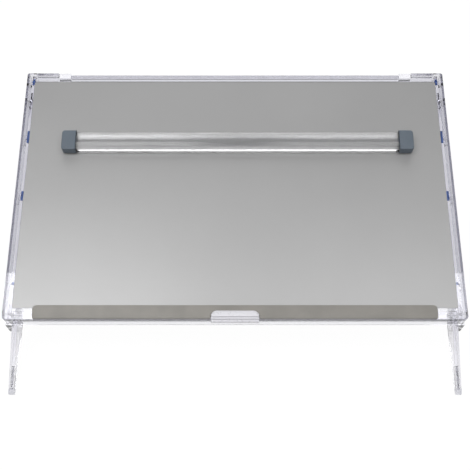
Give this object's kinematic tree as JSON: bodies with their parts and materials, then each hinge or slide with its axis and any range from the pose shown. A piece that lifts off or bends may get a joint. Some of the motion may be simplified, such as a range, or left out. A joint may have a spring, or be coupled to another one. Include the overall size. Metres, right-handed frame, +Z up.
{
  "type": "document holder with bar magnifier",
  "caption": "Sloping clear desk stand whose sliding tray carries a matt document panel, a paper ledge with a pull grip and a loose bar magnifier, on folding legs.",
  "frame": {"origin": "centre of the object's box on the desk plane", "axes": "+X to the reader's right, +Y away from the reader, +Z up; the board rises towards +Y at 20 degrees"},
  "size_m": [0.505, 0.3646, 0.1704],
  "materials": {
    "clear_acrylic": "clear, polished",
    "steel": "plain",
    "nylon": "natural, milky",
    "glide": "low-friction, matt",
    "panel": "fine satin grain",
    "ledge": "satin",
    "foot": "translucent, matt",
    "cap": "satin",
    "pad": "matt"
  },
  "bodies": {
    "base": {"side_rail_left": "clear_acrylic", "side_rail_right": "clear_acrylic", "front_crossbar": "clear_acrylic", "rear_crossbar": "clear_acrylic", "backstop_lug_left": "clear_acrylic", "backstop_lug_right": "clear_acrylic", "guide_clips_left": "clear_acrylic", "guide_clips_right": "clear_acrylic", "glide_pads_left": "glide", "glide_pads_right": "glide", "crossbar_screws": "steel", "clip_screws": "steel", "front_pivot_pin_left": "clear_acrylic", "front_pivot_pin_right": "clear_acrylic", "rear_pivot_pin_left": "clear_acrylic", "rear_pivot_pin_right": "clear_acrylic", "friction_washers": "nylon", "pivot_clips": "nylon", "detent_plungers": "nylon"},
    "tray": {"tray_shell": "clear_acrylic", "document_panel": "panel", "document_ledge": "ledge", "pull_grip": "clear_acrylic", "travel_stops": "clear_acrylic"},
    "magnifier": {"magnifier_lens": "clear_acrylic", "magnifier_cap_left": "cap", "magnifier_cap_right": "cap", "magnifier_pad_left": "pad", "magnifier_pad_right": "pad"},
    "front_leg_left": {"front_leg_left": "clear_acrylic", "front_foot_left": "foot"},
    "front_leg_right": {"front_leg_right": "clear_acrylic", "front_foot_right": "foot"},
    "rear_leg_left": {"rear_leg_left": "clear_acrylic", "rear_foot_left": "foot"},
    "rear_leg_right": {"rear_leg_right": "clear_acrylic", "rear_foot_right": "foot"}
  },
  "joints": [
    {"name": "tray_slide", "type": "slide", "parent": "base", "child": "tray", "axis": [0, -0.9397, -0.342], "range_m": [0, 0.15]},
    {"name": "magnifier_slide", "type": "slide", "parent": "tray", "child": "magnifier", "axis": [0, 0.9397, 0.342], "range_m": [-0.186, 0.07]},
    {"name": "front_leg_left_fold", "type": "hinge", "parent": "base", "child": "front_leg_left", "pos_m": [-0.243, -0.10454, 0.03648], "axis": [1, 0, 0], "range_deg": [0, 175]},
    {"name": "rear_leg_left_fold", "type": "hinge", "parent": "base", "child": "rear_leg_left", "pos_m": [-0.243, 0.15294, 0.13019], "axis": [-1, 0, 0], "range_deg": [0, 78]},
    {"name": "front_leg_right_fold", "type": "hinge", "parent": "base", "child": "front_leg_right", "pos_m": [0.243, -0.10454, 0.03648], "axis": [1, 0, 0], "range_deg": [0, 175]},
    {"name": "rear_leg_right_fold", "type": "hinge", "parent": "base", "child": "rear_leg_right", "pos_m": [0.243, 0.15294, 0.13019], "axis": [-1, 0, 0], "range_deg": [0, 78]}
  ]
}
